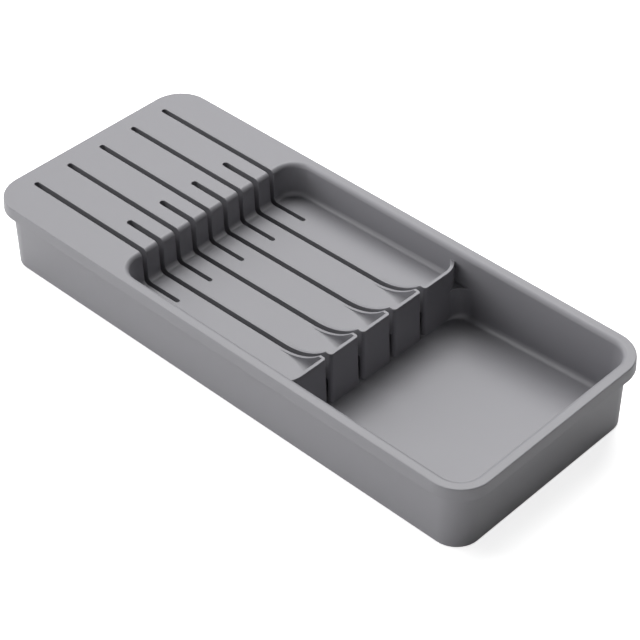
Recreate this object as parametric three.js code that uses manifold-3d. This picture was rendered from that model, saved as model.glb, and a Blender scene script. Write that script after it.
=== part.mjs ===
// In-drawer knife block: a slotted tray moulding that plugs onto a base cover with four non-slip feet.
// Millimetres, +Z up. X runs along the block towards the open bin, +Y is the far side.
// The origin is the middle of the footprint, at the level of the drawer floor.

import * as THREE from 'three';
import { mergeVertices } from 'three/addons/utils/BufferGeometryUtils.js';
import Module from 'manifold-3d';

const wasm = await Module();
wasm.setup();

// Overall size
const length = 400;
const width = 170;
const rimTop = 52.2;
const wallFoot = 0.6;
const cornerRadius = 22.8;

// Rim and outer walls, as insets from the skirt's lower edge
const rimEdgeRadius = 0.8;
const rimThickness = 2.2;
const skirtDrop = 8.5;
const skirtThickness = 2;
const skirtFlare = 0.45;
const wallInsetTop = 5.7;
const wallInsetFoot = 6.6;
const innerInset = 8.5;
const wallDraft = 0.013;

// Shell of the deck, step, trough and end wall, and the rolled edge of the pockets
const shell = 2.2;
const pocketEdgeRadius = 3.3;

// Trough: its floor rises by one degree from the step towards the end wall
const troughFloor = rimTop - 22.5;
const troughRise = 0.0174;
const stepTop = -84.7;
const stepDraft = 0.03;
const stepCornerRadius = 14;
const troughEnd = 57;
const troughFillet = 3.2;

// End wall between the trough and the bin: level on top, its ends bent back into the side walls
const endWallTop = rimTop - 8.3;
const endFaceTop = 59.1;
const endFaceDraft = 0.026;
const endArcRadius = 15.4;
const endArcY = 64.3;
const ledgeTop = rimTop - 23.7;

// Bin: its floor rises from the end wall towards the right-hand end
const binFloor = rimTop - 46.2;
const binRise = 0.0446;
const binLeft = 60.2;
const binFillet = 4.2;
const binLeftCornerRadius = 10;
const binShell = 2;

// Knife slots: nine at an even pitch, in turn long-decked and short-decked, narrowing downwards
const slotCount = 9;
const slotPitch = 14;
const longSlotWidth = 3.75;
const shortSlotWidth = 4.1;
const slotDraft = 0.014;
const longSlotLeft = -187.3;
const longSlotRight = -54.5;
const shortSlotLeft = -114.5;
const guideWall = 2;
const guideDepth = 5;
const slotMouthRadius = 2.2;

// Horns: the walls beside the end-wall slots, swept up from the trough floor
const hornStart = 20.1;
const hornSink = 0.03;
const hornRadius = 50;
const hornWall = 2.1;
const hornFillet = 5;
const hornSteps = 9;

// Base cover and feet
const coverThickness = 2;
const coverGap = 0.3;
const coverUpstand = 3;
const coverUpstandWall = 1.8;
const footRadius = 8;
const footHeight = 1.2;
const footEdge = 0.4;
const footX = 168;
const footY = 56;
const footPlaces = [[-footX, -footY], [-footX, footY], [footX, -footY], [footX, footY]];
const recessDepth = 0.9;

// Facets on a quarter circle
const cornerSteps = 10;
const edgeSteps = 4;

const quarter = Math.PI / 2;
const deckUnder = rimTop - rimThickness;

// Closed outline through a row of arcs, each given by centre, radius and its first and last angle.
function arcOutline(arcs) {
	const outline = [];
	for (const [x, y, radius, first, last] of arcs) {
		for (let step = 0; step <= cornerSteps; step++) {
			const angle = first + (last - first) * step / cornerSteps;
			outline.push(new THREE.Vector2(x + radius * Math.cos(angle), y + radius * Math.sin(angle)));
		}
	}
	return outline;
}

// Rectangle whose left and right corners have their own radii.
function roundedRectangle(left, right, halfWidth, leftRadius, rightRadius) {
	const leftX = left + leftRadius;
	const rightX = right - rightRadius;
	return arcOutline([
		[rightX, halfWidth - rightRadius, rightRadius, 0, quarter],
		[leftX, halfWidth - leftRadius, leftRadius, quarter, 2 * quarter],
		[leftX, leftRadius - halfWidth, leftRadius, 2 * quarter, 3 * quarter],
		[rightX, rightRadius - halfWidth, rightRadius, 3 * quarter, 4 * quarter],
	]);
}

// Plan of the trough: round corners at the step, and a right end whose arcs run into the side walls.
function tubOutline(left, right, halfWidth, leftRadius, arcRadius) {
	const leftX = left + leftRadius;
	const arcX = right - arcRadius;
	const sweep = Math.asin((halfWidth - endArcY) / arcRadius);
	return arcOutline([
		[arcX, endArcY, arcRadius, 0, sweep],
		[leftX, halfWidth - leftRadius, leftRadius, quarter, 2 * quarter],
		[leftX, leftRadius - halfWidth, leftRadius, 2 * quarter, 3 * quarter],
		[arcX, -endArcY, arcRadius, -sweep, 0],
	]);
}

// Outline of the rim, moved inwards by an inset.
function rimOutline(inset) {
	const radius = cornerRadius - inset;
	return roundedRectangle(inset - length / 2, length / 2 - inset, width / 2 - inset, radius, radius);
}

// Inner face of the long walls at a height: the walls lean in slightly towards the floor.
function sideFace(z) {
	return width / 2 - innerInset - wallDraft * (rimTop - z);
}

// Face of the end wall towards the bin.
function endFace(z) {
	return endFaceTop + endFaceDraft * (rimTop - z);
}

// Height of the trough floor at a place along the block.
function troughFloorAt(x) {
	return troughFloor + troughRise * x;
}

// Half the width of a slot at a height.
function slotHalf(slotWidth, z) {
	return slotWidth / 2 - slotDraft * (rimTop - z);
}

// Trough at a height, grown outwards by a margin.
function troughOutline(z, margin) {
	const left = stepTop + stepDraft * (rimTop - z) - margin;
	const halfWidth = sideFace(z) + margin;
	return tubOutline(left, troughEnd + margin, halfWidth, stepCornerRadius + margin, endArcRadius + margin);
}

// Pocket at a height, between a left edge and the right-hand wall, grown outwards by a margin.
function openEnd(left, leftRadius, z, margin) {
	const right = length / 2 - innerInset - wallDraft * (rimTop - z) + margin;
	const radius = cornerRadius - innerInset + margin;
	return roundedRectangle(left, right, sideFace(z) + margin, leftRadius, radius);
}

// Lower part of the bin, below the ledges beside the end wall.
function binOutline(z, margin) {
	return openEnd(endFace(z), binLeftCornerRadius, z, margin);
}

// Upper part of the bin, which runs on past the end wall along the side walls.
function binUpperOutline(z, margin) {
	return openEnd(troughEnd - endArcRadius, 1, z, margin);
}

// One pocket over trough, end wall and bin: above the end wall the side walls run through.
function topOutline(z, margin) {
	const left = stepTop + stepDraft * (rimTop - z) - margin;
	return openEnd(left, stepCornerRadius + margin, z, margin);
}

// Ring of points over an outline at a height, with an optional rise along X from a starting place.
function ring(outline, z, rise = 0, from = 0) {
	return outline.map((point) => new THREE.Vector3(point.x, point.y, z + rise * (point.x - from)));
}

// Skin through a row of rings with equal point counts, closed at both ends.
function loft(rings) {
	const count = rings[0].length;
	const positions = rings.flat().flatMap((point) => point.toArray());
	const index = [];
	for (let row = 0; row + 1 < rings.length; row++) {
		for (let k = 0; k < count; k++) {
			const a = row * count + k;
			const b = row * count + (k + 1) % count;
			index.push(a, b, b + count, a, b + count, a + count);
		}
	}
	const last = (rings.length - 1) * count;
	for (const [a, b, c] of THREE.ShapeUtils.triangulateShape(rings[0], [])) {
		index.push(c, b, a);
	}
	for (const [a, b, c] of THREE.ShapeUtils.triangulateShape(rings[rings.length - 1], [])) {
		index.push(last + a, last + b, last + c);
	}
	const geometry = new THREE.BufferGeometry();
	geometry.setAttribute('position', new THREE.Float32BufferAttribute(positions, 3));
	geometry.setIndex(index);
	return geometry;
}

// Upright prism over an outline.
function prism(outline, bottom, top) {
	return loft([ring(outline, bottom), ring(outline, top)]);
}

// Prism across the block: an X-Z outline, centred on y.
function crossPrism(outline, y, thickness) {
	const shape = new THREE.Shape(outline.map(([x, z]) => new THREE.Vector2(x, z)));
	const geometry = new THREE.ExtrudeGeometry(shape, { depth: thickness, bevelEnabled: false });
	return geometry.rotateX(quarter).translate(0, y + thickness / 2, 0);
}

function solid(geometry) {
	geometry.deleteAttribute('normal');
	geometry.deleteAttribute('uv');
	const welded = mergeVertices(geometry, 1e-5);
	return new wasm.Manifold(new wasm.Mesh({
		numProp: 3,
		vertProperties: new Float32Array(welded.attributes.position.array),
		triVerts: new Uint32Array(welded.index.array),
	}));
}

function piece(name, body, material) {
	const mesh = body.getMesh();
	const geometry = new THREE.BufferGeometry();
	geometry.setAttribute('position', new THREE.BufferAttribute(mesh.vertProperties, 3));
	geometry.setIndex(new THREE.BufferAttribute(mesh.triVerts, 1));
	geometry.computeVertexNormals();
	const result = new THREE.Mesh(geometry, material);
	result.name = name;
	return result;
}

// Rings of a pocket's floor: the flat floor and the fillet round it, on a slope along X.
function floorRings(outlineAt, floor, fillet, rise, from) {
	const rings = [];
	for (let step = 0; step <= edgeSteps; step++) {
		const angle = step / edgeSteps * quarter;
		const z = floor + fillet * (1 - Math.cos(angle));
		rings.push(ring(outlineAt(z, fillet * (Math.sin(angle) - 1)), z, rise, from));
	}
	return rings;
}

// Trough below the top of the end wall.
function trough() {
	const rings = floorRings(troughOutline, troughFloor, troughFillet, troughRise, 0);
	rings.push(ring(troughOutline(endWallTop, 0), endWallTop));
	return solid(loft(rings));
}

// Outside of the trough: step wall and end wall, down to a floor that may rise along X.
function tub(bottom, rise) {
	const rings = [bottom, rimTop + 3].map((z) => ring(
		tubOutline(
			stepTop - shell,
			endFace(z),
			sideFace(z) + shell,
			stepCornerRadius + shell,
			endArcRadius + shell,
		),
		z,
		z === bottom ? rise : 0,
	));
	return solid(loft(rings));
}

// Bin below the top of the end wall, with ledges beside the wall's bent ends.
function bin() {
	const rings = floorRings(binOutline, binFloor, binFillet, binRise, binLeft);
	rings.push(ring(binOutline(ledgeTop, 0), ledgeTop));
	const upper = [ledgeTop, endWallTop].map((z) => ring(binUpperOutline(z, 0), z));
	return solid(loft(rings)).add(solid(loft(upper)).subtract(tub(ledgeTop - 5, 0)));
}

// Open space above the end wall, with the edge that rolls over at the deck and the rim.
function openTop() {
	const rings = [ring(topOutline(endWallTop, 0), endWallTop)];
	for (let step = 0; step <= edgeSteps; step++) {
		const angle = step / edgeSteps * quarter;
		const z = rimTop - pocketEdgeRadius * (1 - Math.sin(angle));
		rings.push(ring(topOutline(z, pocketEdgeRadius * (1 - Math.cos(angle))), z));
	}
	rings.push(ring(topOutline(rimTop, pocketEdgeRadius), rimTop + 2));
	return solid(loft(rings));
}

// Outer walls with the rim on top: rounded upper edge, and a skirt that hangs free of the walls.
function envelope() {
	const rings = [ring(rimOutline(0), rimTop - skirtDrop)];
	for (let step = 0; step <= edgeSteps; step++) {
		const angle = step / edgeSteps * quarter;
		const inset = skirtFlare + rimEdgeRadius * (1 - Math.cos(angle));
		rings.push(ring(rimOutline(inset), rimTop - rimEdgeRadius * (1 - Math.sin(angle))));
	}
	const underRim = loft([
		ring(rimOutline(skirtThickness), rimTop - skirtDrop - 1),
		ring(rimOutline(skirtThickness + skirtFlare), deckUnder),
	]);
	const walls = loft([
		ring(rimOutline(wallInsetFoot), wallFoot),
		ring(rimOutline(wallInsetTop), rimTop - 1),
	]);
	return solid(loft(rings)).subtract(solid(underRim)).add(solid(walls));
}

// Hollow of the blade chamber, open at the bottom. The ledges keep their thickness above it.
function chamber() {
	const left = innerInset - length / 2;
	const halfWidth = width / 2 - innerInset;
	const radius = cornerRadius - innerInset;
	const underDeck = solid(prism(roundedRectangle(left, troughEnd, halfWidth, radius, 1), 0, deckUnder));
	const ledgeBlock = roundedRectangle(troughEnd - 5, troughEnd + 2, width / 2, 1, 1);
	const ledges = solid(prism(ledgeBlock, ledgeTop - shell, rimTop));
	const between = roundedRectangle(troughEnd - 6, troughEnd + 3, endArcY, 1, 1);
	return underDeck
		.subtract(tub(troughFloor - shell, troughRise))
		.subtract(ledges.subtract(solid(prism(between, 0, rimTop + 1))));
}

// Space under the bin floor, open at the bottom.
function underBin() {
	const levels = [-20, binFloor - binShell];
	const wedge = loft(levels.map((z) => ring(rimOutline(innerInset), z, binRise, binLeft)));
	const rightPart = roundedRectangle(troughEnd - 2, length / 2, width / 2, 1, 1);
	return solid(wedge).intersect(solid(prism(rightPart, -40, rimTop)));
}

// Guide walls under a slot. They follow the deck, the step and the trough floor.
function slotGuide(y, slotWidth, left, right) {
	const stepBack = stepTop - shell;
	const outline = [
		[left, rimTop - 1.4],
		[left, deckUnder - guideDepth],
		[stepBack - guideDepth, deckUnder - guideDepth],
		[stepBack - guideDepth, troughFloorAt(stepBack - guideDepth) - shell - guideDepth],
		[right, troughFloorAt(right) - shell - guideDepth],
		[right, troughFloorAt(right) - 1],
		[stepTop - 1, troughFloorAt(stepTop - 1) - 1],
		[stepTop - 1, rimTop - 1.4],
	];
	return solid(crossPrism(outline, y, slotWidth + 2 * guideWall));
}

// Cross-section of a horn block: straight sides that flare into the trough floor.
function hornSection(y, half, root, top, fillet) {
	const side = [new THREE.Vector2(half + fillet, root - 0.7)];
	for (let step = 0; step <= edgeSteps; step++) {
		const angle = step / edgeSteps * quarter;
		const out = half + fillet * (1 - Math.sin(angle));
		side.push(new THREE.Vector2(out, root + fillet * (1 - Math.cos(angle))));
	}
	side.push(new THREE.Vector2(half, top));
	const mirrored = side.map((point) => new THREE.Vector2(-point.x, point.y)).reverse();
	return [...side, ...mirrored].map((point) => new THREE.Vector2(point.x + y, point.y));
}

// Horn block of a slot: a concave ramp from the trough floor up to the level top of the end wall.
function horn(y) {
	const half = slotHalf(shortSlotWidth, troughFloor) + hornWall;
	const lowest = troughFloorAt(hornStart) - hornSink;
	const lastAngle = Math.acos(1 - (endWallTop - lowest) / hornRadius);
	const rings = [];
	for (let step = 0; step <= hornSteps; step++) {
		const angle = step / hornSteps * lastAngle;
		const x = hornStart + hornRadius * Math.sin(angle);
		const root = troughFloorAt(x) - 2 * hornSink;
		const top = lowest + hornRadius * (1 - Math.cos(angle));
		const fillet = Math.min(hornFillet, 0.85 * (top - root));
		rings.push(ring(hornSection(y, half, root, top, fillet), x));
	}
	const end = troughEnd + shell / 2;
	rings.push(ring(hornSection(y, half, troughFloorAt(end) - 2 * hornSink, endWallTop, hornFillet), end));
	const sectionsAlongX = new THREE.Matrix4().set(0, 0, 1, 0, 1, 0, 0, 0, 0, 1, 0, 0, 0, 0, 0, 1);
	return solid(loft(rings).applyMatrix4(sectionsAlongX));
}

// Slot cutter: a thin upright slab with round ends, narrowing downwards.
function slotCut(y, slotWidth, left, right, bottom) {
	const rings = [bottom, rimTop + 2].map((z) => {
		const radius = slotHalf(slotWidth, z);
		const taper = slotDraft * (rimTop - z);
		return ring(arcOutline([
			[right - taper - radius, y, radius, -quarter, quarter],
			[left + taper + radius, y, radius, quarter, 3 * quarter],
		]), z);
	});
	return solid(loft(rings));
}

// Rounded mouth of a slot in the end wall's face, from the bin floor to the top.
function slotMouth(y, bottom) {
	const rings = [bottom, rimTop].map((z) => {
		const slotSide = slotHalf(shortSlotWidth, z);
		const half = [];
		for (let step = 0; step <= edgeSteps; step++) {
			const angle = step / edgeSteps * quarter;
			half.push(new THREE.Vector2(
				endFace(z) - slotMouthRadius * (1 - Math.sin(angle)),
				slotSide + slotMouthRadius * (1 - Math.cos(angle)),
			));
		}
		half.push(new THREE.Vector2(endFace(z) + 4, slotSide + slotMouthRadius));
		const mirrored = half.map((point) => new THREE.Vector2(point.x, -point.y));
		const outline = [...mirrored, ...half.reverse()];
		return ring(outline.map((point) => new THREE.Vector2(point.x, point.y + y)), z);
	});
	return solid(loft(rings));
}

function trayBody(material) {
	const hollow = trough().add(bin()).add(openTop());
	let body = envelope().subtract(chamber().add(underBin())).subtract(hollow);
	for (let slot = 0; slot < slotCount; slot++) {
		const y = (slot - (slotCount - 1) / 2) * slotPitch;
		if (slot % 2 === 0) {
			const bottom = troughFloorAt(stepTop) - shell - guideDepth - 1;
			body = body.add(slotGuide(y, longSlotWidth, longSlotLeft - guideWall, longSlotRight + guideWall));
			body = body.subtract(slotCut(y, longSlotWidth, longSlotLeft, longSlotRight, bottom));
		} else {
			const bottom = binFloor + 0.35;
			body = body.add(slotGuide(y, shortSlotWidth, shortSlotLeft - guideWall, troughEnd + shell / 2));
			body = body.add(horn(y));
			body = body.subtract(slotCut(y, shortSlotWidth, shortSlotLeft, endFaceTop + 8, bottom));
			body = body.subtract(slotMouth(y, bottom));
		}
	}
	return piece('tray_body', body, material);
}

// Cover under the chamber: a plate inside the outer walls with an edge that plugs up into the chamber.
function baseCover(material) {
	const inset = innerInset + coverGap;
	const halfWidth = width / 2 - inset;
	const left = inset - length / 2;
	const right = troughEnd - coverGap;
	const radius = cornerRadius - inset;
	const top = wallFoot + coverThickness;
	const plate = solid(prism(rimOutline(inset), wallFoot, top));
	const outer = roundedRectangle(left, right, halfWidth, radius, 2.5);
	const inner = roundedRectangle(
		left + coverUpstandWall,
		right - coverUpstandWall,
		halfWidth - coverUpstandWall,
		radius - coverUpstandWall,
		0.7,
	);
	const upstand = solid(prism(outer, top - 0.5, top + coverUpstand));
	const inside = solid(prism(inner, top - 1, top + coverUpstand + 1));
	let cover = plate.add(upstand.subtract(inside));
	const recessRadius = footRadius + coverGap;
	for (const [x, y] of footPlaces) {
		const recess = new THREE.CylinderGeometry(recessRadius, recessRadius, recessDepth + 1, 32);
		recess.rotateX(quarter).translate(x, y, wallFoot + (recessDepth - 1) / 2);
		cover = cover.subtract(solid(recess));
	}
	return piece('base_cover', cover, material);
}

// Round pad with softened lower edge.
function foot(name, [x, y], material) {
	const profile = [
		new THREE.Vector2(0, 0),
		new THREE.Vector2(footRadius - footEdge, 0),
		new THREE.Vector2(footRadius, footEdge),
		new THREE.Vector2(footRadius, footHeight),
		new THREE.Vector2(0, footHeight),
	];
	const geometry = new THREE.LatheGeometry(profile, 32).rotateX(quarter);
	const mesh = piece(name, solid(geometry), material);
	mesh.position.set(x, y, 0);
	return mesh;
}

const greyPlastic = { color: 0xaaa9ae, roughness: 0.62, metalness: 0 };
const darkRubber = { color: 0x3a3a3c, roughness: 0.85, metalness: 0 };

const knifeBlock = new THREE.Group();
knifeBlock.name = 'knife_block';
knifeBlock.add(trayBody(new THREE.MeshStandardMaterial(greyPlastic)));

const base = new THREE.Group();
base.name = 'base';
base.add(baseCover(new THREE.MeshStandardMaterial(greyPlastic)));
['foot_left_near', 'foot_left_far', 'foot_right_near', 'foot_right_far'].forEach((name, k) => {
	base.add(foot(name, footPlaces[k], new THREE.MeshStandardMaterial(darkRubber)));
});
knifeBlock.add(base);

export default knifeBlock;
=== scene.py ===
"""Looks of the in-drawer knife block, laid out as an add-on and run as a script."""

import math

import bmesh
import bpy
from mathutils import Matrix, Vector


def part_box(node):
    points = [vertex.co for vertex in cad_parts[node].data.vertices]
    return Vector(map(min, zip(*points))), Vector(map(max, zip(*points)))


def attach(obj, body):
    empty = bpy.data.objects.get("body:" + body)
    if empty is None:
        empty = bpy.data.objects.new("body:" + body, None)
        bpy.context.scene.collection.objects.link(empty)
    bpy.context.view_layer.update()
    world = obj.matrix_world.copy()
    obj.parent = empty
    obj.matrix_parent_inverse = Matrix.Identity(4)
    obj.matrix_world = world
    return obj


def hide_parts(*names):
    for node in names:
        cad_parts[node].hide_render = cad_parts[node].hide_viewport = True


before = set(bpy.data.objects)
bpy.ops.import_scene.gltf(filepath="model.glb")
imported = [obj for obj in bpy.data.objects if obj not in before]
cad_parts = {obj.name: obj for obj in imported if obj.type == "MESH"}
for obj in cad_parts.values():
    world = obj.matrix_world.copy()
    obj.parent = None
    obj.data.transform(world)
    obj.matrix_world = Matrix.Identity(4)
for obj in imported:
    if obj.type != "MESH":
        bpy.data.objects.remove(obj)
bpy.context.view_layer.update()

bl_info = {
    "name": "Knife Block",
    "version": (1, 0, 0),
    "blender": (4, 5, 0),
    "location": "3D View > Sidebar > Knife Block",
    "description": "Dresses the packed knife block and sets its studio",
    "category": "Object",
}

FEET = ("foot_left_near", "foot_left_far", "foot_right_near", "foot_right_far")
MILLIMETRE = 0.001

# Joining of the CAD facets: points closer than this are one, and faces flatter than this are one
WELD_DISTANCE = 0.001 * MILLIMETRE
FLAT_ANGLE = math.radians(0.4)

# Edges sharper than this are rounded, in full where both faces are deeper than so many edge
# rounds, and not at all where less than the least share of the round is left
SHARP_ANGLE = math.radians(40)
ROUND_ROOM = 2.2
LEAST_ROUND = 0.005
ROUND_STEPS = 3

# Where rounds run out, their ends fall together; ends closer than this are one
JOIN_DISTANCE = 0.0001 * MILLIMETRE

# Edges beside slivers, such as the tips of the horns, stay crisp from this angle on
SLIVER_DEPTH = 0.06 * MILLIMETRE
SLIVER_ANGLE = math.radians(8)

# Facets round a foot pad and over its rounded edge, and the angle from which its edges are crisp
PAD_SIDES = 64
PAD_ROUND_STEPS = 6
PAD_CREASE = math.radians(60)

# Mirror part of the plastics and the rubber, and how strongly their grain turns the light
SHEEN_LEVEL = 0.5
GRAIN_STRENGTH = 0.7

# Grain and edges of each finish: grains per grain size, depth of the grain, and how much lighter
# the edges are painted, partly as rubbed wear and partly as a painted edge highlight
TRAY_GRAIN_AND_EDGE_LIGHT = (1.0, 0.05 * MILLIMETRE, 0.05)
COVER_GRAIN_AND_EDGE_LIGHT = (0.8, 0.06 * MILLIMETRE, 0.05)
PAD_GRAIN_AND_EDGE_LIGHT = (0.5, 0.1 * MILLIMETRE, 0.3)

# How much rougher the cover is than the tray
COVER_ROUGHER = 0.06

# Noises over the surfaces: scale per metre, detail and roughness
GRAIN_NOISE = (2200.0, 3.0, 0.55)
FLOW_NOISE = (28.0, 4.0, 0.6)
SPECKLE_NOISE = (900.0, 1.0, 0.5)
EDGE_BREAKUP_NOISE = (420.0, 3.0, 0.6)

# Shares of flow marks and speckle, the middle of their mix, and how far it changes tone and gloss
FLOW_SHARE = 0.65
SPECKLE_SHARE = 0.35
MIX_MIDDLE = 0.5
TONE_CHANGE = 0.03
GLOSS_CHANGE = 0.08

# Edge mask for wear and painted edge highlight: width, samples, contrast, how much smoother edges
# are
EDGE_MASK_WIDTH = 0.6 * MILLIMETRE
EDGE_MASK_SAMPLES = 4
EDGE_MASK_CONTRAST = 3.0
RUB_POLISH = 0.1

# White where the camera looks at the floor or the sky, and where a mirror or glass does; the
# floor is lit as well, so it needs less to look white
FLOOR_WHITE = (0.8, 0.35)
SKY_WHITE = (1.0, 1.0)

# Half the side of the square floor, in metres, and width of the camera's sensor, in millimetres
FLOOR_REACH = 3
SENSOR_WIDTH = 36.0

# Studio lamps: name, azimuth from +X and elevation in degrees, width and height in metres, watts
LAMP_DISTANCE = 3.0
LAMPS = (
    ("Key lamp", 122.0, 57.0, 1.8, 1.8, 68.0),
    ("Left lamp", 196.0, 42.0, 2.4, 2.4, 52.0),
    ("Front fill lamp", 256.0, 7.5, 2.4, 0.7, 31.5),
)


class KnifeBlockSizes(bpy.types.PropertyGroup):
    """Sizes of the moulded edges and of the pads."""

    tray_edge: bpy.props.FloatProperty(
        name="Tray edge round",
        description="Radius on the sharp edges of the tray, along the slots above all",
        default=0.28 * MILLIMETRE,
        precision=5,
        unit="LENGTH",
    )
    cover_edge: bpy.props.FloatProperty(
        name="Cover edge round",
        description="Radius on the edges of the base cover",
        default=0.3 * MILLIMETRE,
        precision=5,
        unit="LENGTH",
    )
    pad_edge: bpy.props.FloatProperty(
        name="Pad edge round",
        description="Radius round the lower edge of a foot pad",
        default=0.4 * MILLIMETRE,
        precision=5,
        unit="LENGTH",
    )


class KnifeBlockFinish(bpy.types.PropertyGroup):
    """Colours and surface of the two plastics and the rubber."""

    tray_colour: bpy.props.FloatVectorProperty(
        name="Tray colour",
        description="Cool mid grey of the moulded tray",
        default=(0.280, 0.277, 0.297),
        subtype="COLOR",
        min=0.0,
        max=1.0,
    )
    cover_colour: bpy.props.FloatVectorProperty(
        name="Cover colour",
        description="Grey of the base cover",
        default=(0.260, 0.257, 0.275),
        subtype="COLOR",
        min=0.0,
        max=1.0,
    )
    pad_colour: bpy.props.FloatVectorProperty(
        name="Pad colour",
        description="Dark grey of the rubber pads",
        default=(0.05, 0.05, 0.055),
        subtype="COLOR",
        min=0.0,
        max=1.0,
    )
    plastic_roughness: bpy.props.FloatProperty(
        name="Plastic roughness",
        description="Satin of the moulded plastic",
        default=0.45,
        subtype="FACTOR",
        min=0.0,
        max=1.0,
    )
    pad_roughness: bpy.props.FloatProperty(
        name="Pad roughness",
        description="Matt surface of the rubber",
        default=0.85,
        subtype="FACTOR",
        min=0.0,
        max=1.0,
    )
    grain_size: bpy.props.FloatProperty(
        name="Grain size",
        description="Spacing of the fine texture that the mould leaves",
        default=0.45 * MILLIMETRE,
        precision=5,
        unit="LENGTH",
    )


class KnifeBlockStage(bpy.types.PropertyGroup):
    """Camera and floor."""

    camera_place: bpy.props.FloatVectorProperty(
        name="Camera place",
        description="Where the camera stands",
        default=(0.69171, -0.71033, 0.86348),
        subtype="XYZ",
        unit="LENGTH",
    )
    camera_aim: bpy.props.FloatVectorProperty(
        name="Camera aim",
        description="Point on the rim's plane in the middle of the picture",
        default=(0.03921, -0.02839, 0.0522),
        subtype="XYZ",
        unit="LENGTH",
    )
    camera_roll: bpy.props.FloatProperty(
        name="Camera roll",
        description="Tilt of the camera about its line of sight",
        default=math.radians(-0.21),
        subtype="ANGLE",
    )
    focal_length: bpy.props.FloatProperty(
        name="Focal length",
        description="Focal length on a 36 mm wide sensor, in millimetres",
        default=117.88,
        unit="CAMERA",
    )
    floor_colour: bpy.props.FloatVectorProperty(
        name="Floor colour",
        description="Pale floor that the block stands on",
        default=(0.92, 0.92, 0.92),
        subtype="COLOR",
        min=0.0,
        max=1.0,
    )


def settings():
    """The three property groups of the scene."""
    scene = bpy.context.scene
    return scene.knife_block_sizes, scene.knife_block_finish, scene.knife_block_stage


def new_group(name, inputs, outputs):
    """Empty shader node group with float sockets; inputs come with their defaults."""
    group = bpy.data.node_groups.new(name, "ShaderNodeTree")
    for socket, default in inputs:
        made = group.interface.new_socket(socket, in_out="INPUT", socket_type="NodeSocketFloat")
        made.default_value = default
    for socket in outputs:
        group.interface.new_socket(socket, in_out="OUTPUT", socket_type="NodeSocketFloat")
    return group, group.nodes.new("NodeGroupInput"), group.nodes.new("NodeGroupOutput")


def feed(tree, value, socket):
    """Gives a socket a number, or links it to another socket."""
    if isinstance(value, (int, float)):
        socket.default_value = value
    else:
        tree.links.new(value, socket)


def add_math(tree, operation, first, second):
    """Math node between two values or sockets."""
    node = tree.nodes.new("ShaderNodeMath")
    node.operation = operation
    feed(tree, first, node.inputs[0])
    feed(tree, second, node.inputs[1])
    return node.outputs[0]


def add_noise(tree, scale, detail, roughness):
    """Noise over the piece's own coordinates, with a scale per metre."""
    place = tree.nodes.new("ShaderNodeTexCoord")
    noise = tree.nodes.new("ShaderNodeTexNoise")
    noise.inputs["Detail"].default_value = detail
    noise.inputs["Roughness"].default_value = roughness
    tree.links.new(place.outputs["Object"], noise.inputs["Vector"])
    feed(tree, scale, noise.inputs["Scale"])
    return noise.outputs["Fac"]


def moulded_grain():
    """Node group: the fine texture of a mould, with slow changes of tone and gloss."""
    scale, detail, roughness = GRAIN_NOISE
    group, start, end = new_group(
        "Moulded grain",
        [("Grain scale", scale), ("Tone change", TONE_CHANGE), ("Gloss change", GLOSS_CHANGE)],
        ["Height", "Tone", "Gloss"],
    )
    pebbles = add_noise(group, start.outputs["Grain scale"], detail, roughness)
    broad = add_math(group, "MULTIPLY", add_noise(group, *FLOW_NOISE), FLOW_SHARE)
    fine = add_math(group, "MULTIPLY", add_noise(group, *SPECKLE_NOISE), SPECKLE_SHARE)
    mixed = add_math(group, "ADD", broad, fine)
    centred = add_math(group, "SUBTRACT", mixed, MIX_MIDDLE)
    tone = add_math(group, "MULTIPLY", centred, start.outputs["Tone change"])
    gloss = add_math(group, "MULTIPLY", centred, start.outputs["Gloss change"])
    group.links.new(pebbles, end.inputs["Height"])
    group.links.new(add_math(group, "ADD", tone, 1.0), end.inputs["Tone"])
    group.links.new(gloss, end.inputs["Gloss"])


def edge_rub_and_highlight():
    """Node group: mask of the sharp edges, inner and outer, broken up by scuffs, for wear and a
    painted edge highlight.
    """
    group, start, end = new_group("Edge rub and painted highlight", [("Width", EDGE_MASK_WIDTH)], ["Mask"])
    rounded = group.nodes.new("ShaderNodeBevel")
    rounded.samples = EDGE_MASK_SAMPLES
    surface = group.nodes.new("ShaderNodeNewGeometry")
    along = group.nodes.new("ShaderNodeVectorMath")
    along.operation = "DOT_PRODUCT"
    group.links.new(start.outputs["Width"], rounded.inputs["Radius"])
    group.links.new(rounded.outputs["Normal"], along.inputs[0])
    group.links.new(surface.outputs["Normal"], along.inputs[1])
    turned = add_math(group, "SUBTRACT", 1.0, along.outputs["Value"])
    edges = add_math(group, "MULTIPLY", turned, EDGE_MASK_CONTRAST)
    mask = add_math(group, "MULTIPLY", edges, add_noise(group, *EDGE_BREAKUP_NOISE))
    group.links.new(add_math(group, "MINIMUM", mask, 1.0), end.inputs["Mask"])


def make_groups():
    """Builds the shared node groups once."""
    if "Moulded grain" not in bpy.data.node_groups:
        moulded_grain()
        edge_rub_and_highlight()


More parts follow.
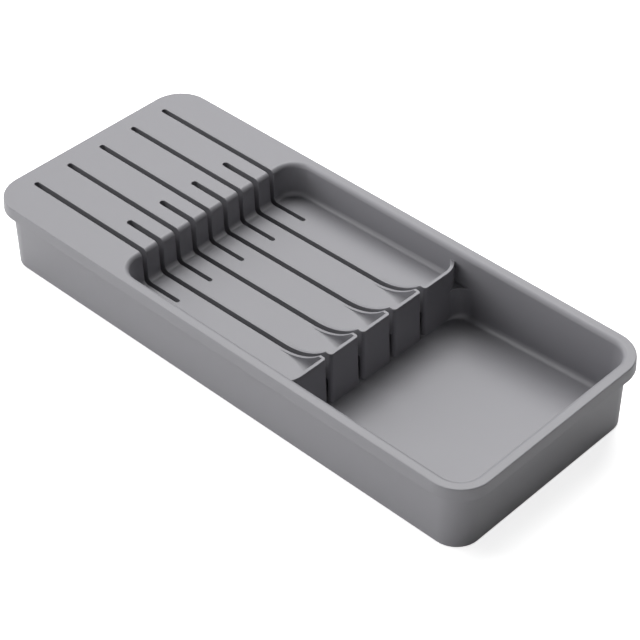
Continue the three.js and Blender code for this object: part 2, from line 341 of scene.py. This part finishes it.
def surface_material(name, colour, roughness, grains, grain_depth, rub_and_highlight_gain):
    """Moulded material: grain bump, slow tone and gloss changes, edges lighter as wear and painted
    highlight.
    """
    make_groups()
    material = bpy.data.materials.new(name)
    material.use_nodes = True
    tree = material.node_tree
    shader = tree.nodes["Principled BSDF"]
    shader.inputs["Specular IOR Level"].default_value = SHEEN_LEVEL
    grain = tree.nodes.new("ShaderNodeGroup")
    grain.node_tree = bpy.data.node_groups["Moulded grain"]
    grain.inputs["Grain scale"].default_value = grains / settings()[1].grain_size
    rub_and_highlight = tree.nodes.new("ShaderNodeGroup")
    rub_and_highlight.node_tree = bpy.data.node_groups["Edge rub and painted highlight"]
    # The edges' colour is lifted: partly scuffed wear, partly a painted edge highlight
    lift = add_math(tree, "MULTIPLY", rub_and_highlight.outputs["Mask"], rub_and_highlight_gain)
    level = add_math(tree, "ADD", grain.outputs["Tone"], lift)
    tint = tree.nodes.new("ShaderNodeVectorMath")
    tint.operation = "SCALE"
    tint.inputs[0].default_value = colour
    tree.links.new(level, tint.inputs["Scale"])
    tree.links.new(tint.outputs["Vector"], shader.inputs["Base Color"])
    satin = add_math(tree, "ADD", grain.outputs["Gloss"], roughness)
    polished = add_math(tree, "MULTIPLY", rub_and_highlight.outputs["Mask"], RUB_POLISH)
    tree.links.new(add_math(tree, "SUBTRACT", satin, polished), shader.inputs["Roughness"])
    bump = tree.nodes.new("ShaderNodeBump")
    bump.inputs["Strength"].default_value = GRAIN_STRENGTH
    bump.inputs["Distance"].default_value = grain_depth
    tree.links.new(grain.outputs["Height"], bump.inputs["Height"])
    tree.links.new(bump.outputs["Normal"], shader.inputs["Normal"])
    return material


def tray_plastic():
    """Satin grey plastic of the tray."""
    finish = settings()[1]
    roughness = finish.plastic_roughness
    return surface_material("Tray plastic", finish.tray_colour, roughness, *TRAY_GRAIN_AND_EDGE_LIGHT)


def cover_plastic():
    """Plastic of the base cover, a little darker and rougher."""
    finish = settings()[1]
    roughness = finish.plastic_roughness + COVER_ROUGHER
    return surface_material("Cover plastic", finish.cover_colour, roughness, *COVER_GRAIN_AND_EDGE_LIGHT)


def pad_rubber():
    """Matt dark rubber of the foot pads."""
    finish = settings()[1]
    return surface_material("Pad rubber", finish.pad_colour, finish.pad_roughness, *PAD_GRAIN_AND_EDGE_LIGHT)


def add_object(name, mesh, material):
    """Links a mesh as an object with one material."""
    mesh.materials.clear()
    mesh.materials.append(material)
    made = bpy.data.objects.new(name, mesh)
    bpy.context.scene.collection.objects.link(made)
    return made


def face_depth(side):
    """How far a face reaches inwards from one of its sides, at the narrowest place."""
    start = side.vert.co
    along = side.link_loop_next.vert.co - start
    length = along.length
    along.normalize()
    inward = side.face.normal.cross(along)
    depth = math.inf
    for other in side.face.loops:
        near = other.vert.co - start
        far = other.link_loop_next.vert.co - start
        if 0 < near.dot(along) < length and near.dot(inward) > WELD_DISTANCE:
            depth = min(depth, near.dot(inward))
        first = near.dot(along) - length / 2
        last = far.dot(along) - length / 2
        if other != side and (first <= 0) != (last <= 0):
            reach = near.lerp(far, first / (first - last)).dot(inward)
            if reach > 0:
                depth = min(depth, reach)
    return depth


def mark_rounds(shape, edge_round):
    """Marks the sharp edges for rounding, less where a face beside them is too narrow for it."""
    weight = shape.edges.layers.float.new("bevel_weight_edge")
    for edge in shape.edges:
        turn = edge.calc_face_angle()
        if turn > SLIVER_ANGLE:
            depth = min(face_depth(side) for side in edge.link_loops)
            share = min(1.0, depth / (ROUND_ROOM * edge_round))
            if turn > SHARP_ANGLE and share > LEAST_ROUND:
                edge[weight] = share
            elif turn > SHARP_ANGLE or depth < SLIVER_DEPTH:
                edge.smooth = False


def moulded_copy(name, node, edge_round, material):
    """Copy of a CAD node, its flat faces joined, its sharp edges rounded and its curves smooth."""
    shape = bmesh.new()
    shape.from_mesh(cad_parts[node].data)
    bmesh.ops.remove_doubles(shape, verts=shape.verts, dist=WELD_DISTANCE)
    bmesh.ops.dissolve_limit(shape, angle_limit=FLAT_ANGLE, verts=shape.verts, edges=shape.edges)
    for part in (*shape.faces, *shape.edges):
        part.smooth = True
    mark_rounds(shape, edge_round)
    mesh = bpy.data.meshes.new(name)
    shape.to_mesh(mesh)
    shape.free()
    made = add_object(name, mesh, material)
    edges = made.modifiers.new("Edge rounds", "BEVEL")
    edges.width = edge_round
    edges.segments = ROUND_STEPS
    edges.limit_method = "WEIGHT"
    edges.use_clamp_overlap = False
    ends = made.modifiers.new("Joined round ends", "WELD")
    ends.merge_threshold = JOIN_DISTANCE
    normals = made.modifiers.new("Even normals", "WEIGHTED_NORMAL")
    normals.mode = "FACE_AREA_WITH_ANGLE"
    normals.keep_sharp = True
    return made


def pad_mesh(name, low, high, edge_round):
    """Round pad between two corners of its box, with a rounded lower edge."""
    radius = (high.x - low.x) / 2
    centre = Vector(((low.x + high.x) / 2, (low.y + high.y) / 2, low.z))
    height = high.z - low.z
    profile = [(radius - edge_round, 0.0)]
    for step in range(1, PAD_ROUND_STEPS + 1):
        angle = step / PAD_ROUND_STEPS * math.pi / 2
        out = radius - edge_round * (1 - math.sin(angle))
        profile.append((out, edge_round * (1 - math.cos(angle))))
    profile.append((radius, height))
    shape = bmesh.new()
    rings = []
    for out, up in profile:
        ring = []
        for turn in range(PAD_SIDES):
            angle = turn / PAD_SIDES * 2 * math.pi
            offset = Vector((out * math.cos(angle), out * math.sin(angle), up))
            ring.append(shape.verts.new(centre + offset))
        rings.append(ring)
    for below, above in zip(rings, rings[1:]):
        for turn in range(PAD_SIDES):
            after = (turn + 1) % PAD_SIDES
            shape.faces.new((below[turn], below[after], above[after], above[turn]))
    shape.faces.new(tuple(reversed(rings[0])))
    shape.faces.new(tuple(rings[-1]))
    for face in shape.faces:
        face.smooth = True
    mesh = bpy.data.meshes.new(name)
    shape.to_mesh(mesh)
    shape.free()
    mesh.set_sharp_from_angle(angle=PAD_CREASE)
    return mesh


class KNIFEBLOCK_OT_tray(bpy.types.Operator):
    """Dress the slotted tray moulding"""

    bl_idname = "knife_block.tray"
    bl_label = "Tray"

    def execute(self, context):
        sizes = settings()[0]
        tray = moulded_copy("tray_moulding", "tray_body", sizes.tray_edge, tray_plastic())
        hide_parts("tray_body")
        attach(tray, "tray")
        return {"FINISHED"}


class KNIFEBLOCK_OT_cover(bpy.types.Operator):
    """Dress the base cover under the blade chamber"""

    bl_idname = "knife_block.cover"
    bl_label = "Base cover"

    def execute(self, context):
        sizes = settings()[0]
        cover = moulded_copy("cover_moulding", "base_cover", sizes.cover_edge, cover_plastic())
        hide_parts("base_cover")
        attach(cover, "base")
        return {"FINISHED"}


class KNIFEBLOCK_OT_pads(bpy.types.Operator):
    """Make the four rubber foot pads"""

    bl_idname = "knife_block.pads"
    bl_label = "Foot pads"

    def execute(self, context):
        sizes = settings()[0]
        rubber = pad_rubber()
        for foot in FEET:
            low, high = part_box(foot)
            name = foot + "_pad"
            pad = add_object(name, pad_mesh(name, low, high, sizes.pad_edge), rubber)
            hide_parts(foot)
            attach(pad, "base")
        return {"FINISHED"}


def area_lamp(name, azimuth, elevation, width, height, strength):
    """Soft rectangular lamp that points at the block from a direction in degrees."""
    turn = math.radians(azimuth)
    lift = math.radians(elevation)
    level = math.cos(lift)
    outward = Vector((level * math.cos(turn), level * math.sin(turn), math.sin(lift)))
    lamp = bpy.data.lights.new(name, "AREA")
    lamp.shape = "RECTANGLE"
    lamp.size = width
    lamp.size_y = height
    lamp.energy = strength
    made = bpy.data.objects.new(name, lamp)
    made.location = outward * LAMP_DISTANCE
    made.rotation_euler = outward.to_track_quat("Z", "Y").to_euler()
    bpy.context.scene.collection.objects.link(made)


def looked_at(tree, camera_level, mirror_level):
    """White for the rays by which the camera, a mirror or glass looks at the background."""
    rays = tree.nodes.new("ShaderNodeLightPath").outputs
    bounced = add_math(tree, "MAXIMUM", rays["Is Glossy Ray"], rays["Is Transmission Ray"])
    mirrored = add_math(tree, "MULTIPLY", bounced, mirror_level)
    direct = add_math(tree, "MULTIPLY", rays["Is Camera Ray"], camera_level)
    return add_math(tree, "MAXIMUM", direct, mirrored)


def floor_material(colour):
    """Pale floor, lifted to white where it is looked at, which keeps the block's soft shadow."""
    material = bpy.data.materials.new("Pale floor")
    material.use_nodes = True
    tree = material.node_tree
    tree.nodes.clear()
    diffuse = tree.nodes.new("ShaderNodeBsdfDiffuse")
    diffuse.inputs["Color"].default_value = (*colour, 1.0)
    glow = tree.nodes.new("ShaderNodeEmission")
    tree.links.new(looked_at(tree, *FLOOR_WHITE), glow.inputs["Strength"])
    total = tree.nodes.new("ShaderNodeAddShader")
    tree.links.new(diffuse.outputs["BSDF"], total.inputs[0])
    tree.links.new(glow.outputs["Emission"], total.inputs[1])
    output = tree.nodes.new("ShaderNodeOutputMaterial")
    tree.links.new(total.outputs["Shader"], output.inputs["Surface"])
    return material


def make_floor(colour):
    """Wide flat floor at the level of the pads."""
    shape = bmesh.new()
    bmesh.ops.create_grid(shape, x_segments=1, y_segments=1, size=FLOOR_REACH)
    mesh = bpy.data.meshes.new("floor")
    shape.to_mesh(mesh)
    shape.free()
    floor = add_object("floor", mesh, floor_material(colour))


def make_sky():
    """Sky that is white where it is looked at past the floor, and lights nothing itself."""
    world = bpy.data.worlds.new("Studio")
    world.use_nodes = True
    bpy.context.scene.world = world
    tree = world.node_tree
    background = tree.nodes["Background"]
    background.inputs["Color"].default_value = (1.0, 1.0, 1.0, 1.0)
    tree.links.new(looked_at(tree, *SKY_WHITE), background.inputs["Strength"])


def make_camera(stage):
    """Camera at the photograph's view."""
    camera = bpy.data.cameras.new("Camera")
    camera.lens = stage.focal_length
    camera.sensor_width = SENSOR_WIDTH
    made = bpy.data.objects.new("Camera", camera)
    place = Vector(stage.camera_place)
    sight = (Vector(stage.camera_aim) - place).to_track_quat("-Z", "Y").to_matrix()
    made.location = place
    made.rotation_euler = (sight @ Matrix.Rotation(stage.camera_roll, 3, "Z")).to_euler()
    bpy.context.scene.collection.objects.link(made)
    bpy.context.scene.camera = made


class KNIFEBLOCK_OT_stage(bpy.types.Operator):
    """Set the camera, the soft lamps and the pale floor"""

    bl_idname = "knife_block.stage"
    bl_label = "Studio"

    def execute(self, context):
        stage = settings()[2]
        context.scene.view_settings.view_transform = "Standard"
        make_camera(stage)
        make_floor(stage.floor_colour)
        make_sky()
        for lamp in LAMPS:
            area_lamp(*lamp)
        return {"FINISHED"}


class KNIFEBLOCK_PT_panel(bpy.types.Panel):
    """Lists the pieces and their settings"""

    bl_idname = "KNIFEBLOCK_PT_panel"
    bl_label = "Knife Block"
    bl_space_type = "VIEW_3D"
    bl_region_type = "UI"
    bl_category = "Knife Block"

    def draw(self, context):
        for group in settings():
            column = self.layout.column(align=True)
            for name in group.bl_rna.properties.keys():
                if name not in {"rna_type", "name"}:
                    column.prop(group, name)
        for operator in OPERATORS:
            self.layout.operator(operator.bl_idname)


OPERATORS = (KNIFEBLOCK_OT_tray, KNIFEBLOCK_OT_cover, KNIFEBLOCK_OT_pads, KNIFEBLOCK_OT_stage)
CLASSES = (KnifeBlockSizes, KnifeBlockFinish, KnifeBlockStage, *OPERATORS, KNIFEBLOCK_PT_panel)


def register():
    """Registers the classes and hangs their settings on the scene."""
    for made in CLASSES:
        bpy.utils.register_class(made)
    scene = bpy.types.Scene
    scene.knife_block_sizes = bpy.props.PointerProperty(type=KnifeBlockSizes)
    scene.knife_block_finish = bpy.props.PointerProperty(type=KnifeBlockFinish)
    scene.knife_block_stage = bpy.props.PointerProperty(type=KnifeBlockStage)


def unregister():
    """Takes the settings and the classes away again."""
    del bpy.types.Scene.knife_block_stage
    del bpy.types.Scene.knife_block_finish
    del bpy.types.Scene.knife_block_sizes
    for made in reversed(CLASSES):
        bpy.utils.unregister_class(made)


def main():
    """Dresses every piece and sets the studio."""
    register()
    bpy.ops.knife_block.tray()
    bpy.ops.knife_block.cover()
    bpy.ops.knife_block.pads()
    bpy.ops.knife_block.stage()


if __name__ == "__main__":
    main()
